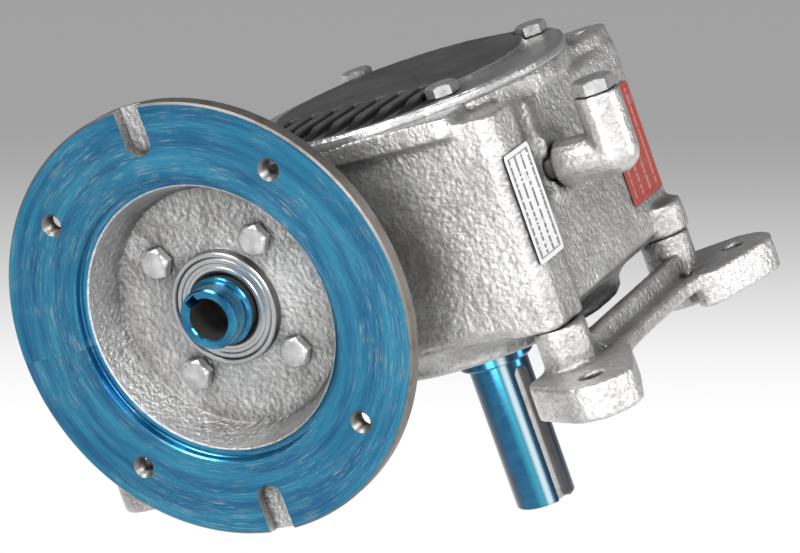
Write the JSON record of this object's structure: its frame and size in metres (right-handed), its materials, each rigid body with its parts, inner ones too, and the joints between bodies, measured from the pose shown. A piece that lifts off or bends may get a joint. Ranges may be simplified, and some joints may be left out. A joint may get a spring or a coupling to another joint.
{
  "type": "worm gearbox",
  "caption": "Cast worm gearbox with a round motor flange, a hollow keyed input bore, a keyed output shaft at right angles, a finned cover and two foot bars.",
  "frame": {"origin": "centre of the output shaft's end face", "axes": "+Z along the output shaft's axis from its free end towards the finned cover; -Y along the worm's axis, out of the motor flange's face; +X from the worm's axis towards the output shaft and the breather"},
  "size_m": [0.2812, 0.213, 0.2435],
  "materials": {
    "painted_iron": "silver paint on rough cast iron",
    "blue_flange": "blue lacquer over a turned face",
    "blue_steel": "blue lacquer over turned steel",
    "machined_steel": "turned",
    "bearing_balls": "polished",
    "painted_bolts": "silver paint",
    "elbow_metal": "as cast",
    "bronze": "turned and hobbed",
    "wheel_iron": "turned",
    "seal_rubber": "moulded",
    "gasket_paper": "oiled gasket paper",
    "white_paper": "printed paper label",
    "red_film": "printed film label"
  },
  "bodies": {
    "gearcase": {"housing": "painted_iron", "motor_flange": "blue_flange", "flange_bolt_1": "painted_bolts", "flange_bolt_2": "painted_bolts", "flange_bolt_3": "painted_bolts", "flange_bolt_4": "painted_bolts", "input_oil_seal": "seal_rubber", "output_oil_seal": "seal_rubber", "front_bearing_outer_race": "machined_steel", "rear_bearing_outer_race": "machined_steel", "lower_bearing_outer_race": "machined_steel", "upper_bearing_outer_race": "machined_steel", "rear_end_cap": "painted_iron", "end_cap_bolt_1": "painted_bolts", "end_cap_bolt_2": "painted_bolts", "end_cap_bolt_3": "painted_bolts", "end_cap_bolt_4": "painted_bolts", "finned_cover": "painted_iron", "cover_gasket": "gasket_paper", "cover_bolt_1": "painted_bolts", "cover_bolt_2": "painted_bolts", "cover_bolt_3": "painted_bolts", "cover_bolt_4": "painted_bolts", "foot_bar_right": "painted_iron", "foot_bar_left": "painted_iron", "foot_bolt_1": "painted_bolts", "foot_bolt_2": "painted_bolts", "foot_bolt_3": "painted_bolts", "foot_bolt_4": "painted_bolts", "breather_elbow": "elbow_metal", "breather_plug": "painted_bolts", "drain_plug": "painted_bolts", "white_label": "white_paper", "red_label": "red_film"},
    "worm": {"worm_shaft": "blue_steel", "front_bearing_inner_race": "machined_steel", "rear_bearing_inner_race": "machined_steel", "worm_circlip": "machined_steel"},
    "wheel": {"output_shaft": "blue_steel", "worm_wheel_rim": "bronze", "wheel_hub": "wheel_iron", "wheel_key": "machined_steel", "wheel_spacer": "machined_steel", "lower_bearing_inner_race": "machined_steel", "upper_bearing_inner_race": "machined_steel"},
    "front_cage": {"front_bearing_balls_and_cage": "bearing_balls"},
    "rear_cage": {"rear_bearing_balls_and_cage": "bearing_balls"},
    "lower_cage": {"lower_bearing_balls_and_cage": "bearing_balls"},
    "upper_cage": {"upper_bearing_balls_and_cage": "bearing_balls"}
  },
  "joints": [
    {"name": "worm_spin", "type": "hinge", "parent": "gearcase", "child": "worm", "pos_m": [-0.0667, 0, 0.1435], "axis": [0, 1, 0], "continuous": true},
    {"name": "wheel_spin", "type": "hinge", "parent": "gearcase", "child": "wheel", "pos_m": [0, 0, 0.1435], "axis": [0, 0, 1], "continuous": true},
    {"name": "front_cage_spin", "type": "hinge", "parent": "gearcase", "child": "front_cage", "pos_m": [-0.0667, -0.069, 0.1435], "axis": [0, 1, 0], "continuous": true},
    {"name": "rear_cage_spin", "type": "hinge", "parent": "gearcase", "child": "rear_cage", "pos_m": [-0.0667, 0.0596, 0.1435], "axis": [0, 1, 0], "continuous": true},
    {"name": "lower_cage_spin", "type": "hinge", "parent": "gearcase", "child": "lower_cage", "pos_m": [0, 0, 0.1045], "axis": [0, 0, 1], "continuous": true},
    {"name": "upper_cage_spin", "type": "hinge", "parent": "gearcase", "child": "upper_cage", "pos_m": [0, 0, 0.1855], "axis": [0, 0, 1], "continuous": true}
  ],
  "couplings": [
    {"joint": "wheel_spin", "follows": "worm_spin", "ratio": 0.033333},
    {"joint": "front_cage_spin", "follows": "worm_spin", "ratio": 0.40166},
    {"joint": "rear_cage_spin", "follows": "worm_spin", "ratio": 0.40134},
    {"joint": "lower_cage_spin", "follows": "worm_spin", "ratio": 0.013397},
    {"joint": "upper_cage_spin", "follows": "worm_spin", "ratio": 0.013397}
  ]
}
